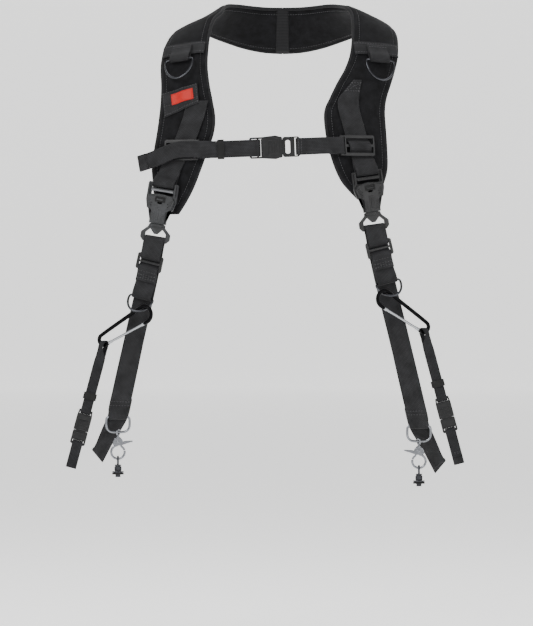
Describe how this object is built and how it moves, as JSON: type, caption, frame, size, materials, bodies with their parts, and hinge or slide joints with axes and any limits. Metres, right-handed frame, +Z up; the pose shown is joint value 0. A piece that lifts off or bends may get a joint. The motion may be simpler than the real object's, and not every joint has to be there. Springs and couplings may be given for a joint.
{
  "type": "dual camera harness",
  "caption": "Padded double shoulder harness with a chest strap and a webbing leg on each side, ending in a swivel hook with a camera stud and a safety tether.",
  "frame": {"origin": "between the two pads at the height where the collar sits on the wearer's neck and shoulders", "axes": "+Z up, the wearer faces -Y, +X to the wearer's left"},
  "size_m": [0.4746, 0.2101, 0.5799],
  "materials": {
    "neoprene": "matte stretch-knit neoprene",
    "webbing": "woven polyester webbing",
    "black_plastic": "satin moulded plastic",
    "grey_plastic": "satin moulded plastic, lighter",
    "dark_metal": "dark plated steel",
    "chrome": "polished",
    "black_metal": "black anodised",
    "silver_metal": "brushed",
    "rubber": "matt"
  },
  "bodies": {
    "harness": {"shoulder_pad_left": "neoprene", "shoulder_pad_right": "neoprene", "pad_webbing_left": "webbing", "qr_buckle_upper_left": "grey_plastic", "qr_buckle_lower_left": "grey_plastic", "main_strap_left": "webbing", "tri_glide_left": "black_plastic", "lower_dring_loop_left": "webbing", "lower_dring_left": "dark_metal", "hip_ring_left": "chrome", "strap_tail_left": "webbing", "carabiner_body_left": "black_metal", "tether_upper_left": "webbing", "tether_keeper_left": "rubber", "tether_buckle_female_left": "black_plastic", "tether_buckle_male_left": "black_plastic", "tether_lower_left": "webbing", "pad_cross_band_left": "webbing", "pad_dring_loop_left": "webbing", "chest_slider_left": "black_plastic", "pad_webbing_right": "webbing", "qr_buckle_upper_right": "black_plastic", "qr_buckle_lower_right": "black_plastic", "main_strap_right": "webbing", "tri_glide_right": "black_plastic", "lower_dring_loop_right": "webbing", "lower_dring_right": "dark_metal", "hip_ring_right": "chrome", "strap_tail_right": "webbing", "carabiner_body_right": "black_metal", "tether_upper_right": "webbing", "tether_keeper_right": "rubber", "tether_buckle_female_right": "black_plastic", "tether_buckle_male_right": "black_plastic", "tether_lower_right": "webbing", "pad_cross_band_right": "webbing", "pad_dring_loop_right": "webbing", "chest_slider_right": "black_plastic", "label_patch": "webbing", "chest_strap_left": "webbing", "chest_keeper": "rubber", "chest_buckle_female": "black_plastic", "chest_buckle_male": "black_plastic", "chest_strap_right": "webbing"},
    "eye_left": {"hook_eye_left": "chrome"},
    "hook_left": {"hook_body_left": "chrome"},
    "trigger_left": {"hook_trigger_left": "chrome"},
    "stud_left": {"camera_stud_left": "dark_metal", "stud_washer_left": "rubber"},
    "gate_left": {"carabiner_gate_left": "silver_metal"},
    "pad_ring_left": {"pad_dring_left": "dark_metal"},
    "eye_right": {"hook_eye_right": "chrome"},
    "hook_right": {"hook_body_right": "chrome"},
    "trigger_right": {"hook_trigger_right": "chrome"},
    "stud_right": {"camera_stud_right": "dark_metal", "stud_washer_right": "rubber"},
    "gate_right": {"carabiner_gate_right": "silver_metal"},
    "pad_ring_right": {"pad_dring_right": "dark_metal"}
  },
  "joints": [
    {"name": "pad_ring_left_hinge", "type": "hinge", "parent": "harness", "child": "pad_ring_left", "pos_m": [-0.12342, -0.06859, -0.05048], "axis": [-0.9191, 0.3766, -0.1156], "range_deg": [0, 100]},
    {"name": "eye_left_swing", "type": "hinge", "parent": "harness", "child": "eye_left", "pos_m": [-0.19649, -0.08277, -0.49535], "axis": [-1, 0, 0], "range_deg": [-4, 75]},
    {"name": "hook_left_swivel", "type": "hinge", "parent": "eye_left", "child": "hook_left", "pos_m": [-0.19649, -0.08277, -0.49535], "axis": [0, 0, 1], "continuous": true},
    {"name": "trigger_left_hinge", "type": "hinge", "parent": "hook_left", "child": "trigger_left", "pos_m": [-0.19269, -0.08277, -0.50885], "axis": [0, 1, 0], "range_deg": [0, 20], "stiffness_Nm_per_rad": 0.02, "springref_deg": -17.19},
    {"name": "stud_left_swing", "type": "hinge", "parent": "hook_left", "child": "stud_left", "pos_m": [-0.19649, -0.08277, -0.52715], "axis": [-1, 0, 0], "range_deg": [-75, 75]},
    {"name": "carabiner_gate_left_hinge", "type": "hinge", "parent": "harness", "child": "gate_left", "pos_m": [-0.16464, -0.11624, -0.36607], "axis": [0.6157, 0.788, 0], "range_deg": [0, 8], "stiffness_Nm_per_rad": 0.05, "springref_deg": -17.19},
    {"name": "pad_ring_right_hinge", "type": "hinge", "parent": "harness", "child": "pad_ring_right", "pos_m": [0.11574, -0.06966, -0.05147], "axis": [-0.9343, -0.3517, 0.059], "range_deg": [0, 100]},
    {"name": "eye_right_swing", "type": "hinge", "parent": "harness", "child": "eye_right", "pos_m": [0.16182, -0.08577, -0.50622], "axis": [-1, 0, 0], "range_deg": [-4, 75]},
    {"name": "hook_right_swivel", "type": "hinge", "parent": "eye_right", "child": "hook_right", "pos_m": [0.16182, -0.08577, -0.50622], "axis": [0, 0, 1], "continuous": true},
    {"name": "trigger_right_hinge", "type": "hinge", "parent": "hook_right", "child": "trigger_right", "pos_m": [0.15802, -0.08577, -0.51972], "axis": [0, -1, 0], "range_deg": [0, 20], "stiffness_Nm_per_rad": 0.02, "springref_deg": -17.19},
    {"name": "stud_right_swing", "type": "hinge", "parent": "hook_right", "child": "stud_right", "pos_m": [0.16182, -0.08577, -0.53802], "axis": [-1, 0, 0], "range_deg": [-75, 75]},
    {"name": "carabiner_gate_right_hinge", "type": "hinge", "parent": "harness", "child": "gate_right", "pos_m": [0.11991, -0.1194, -0.34774], "axis": [0.6157, -0.788, 0], "range_deg": [0, 8], "stiffness_Nm_per_rad": 0.05, "springref_deg": -17.19}
  ]
}
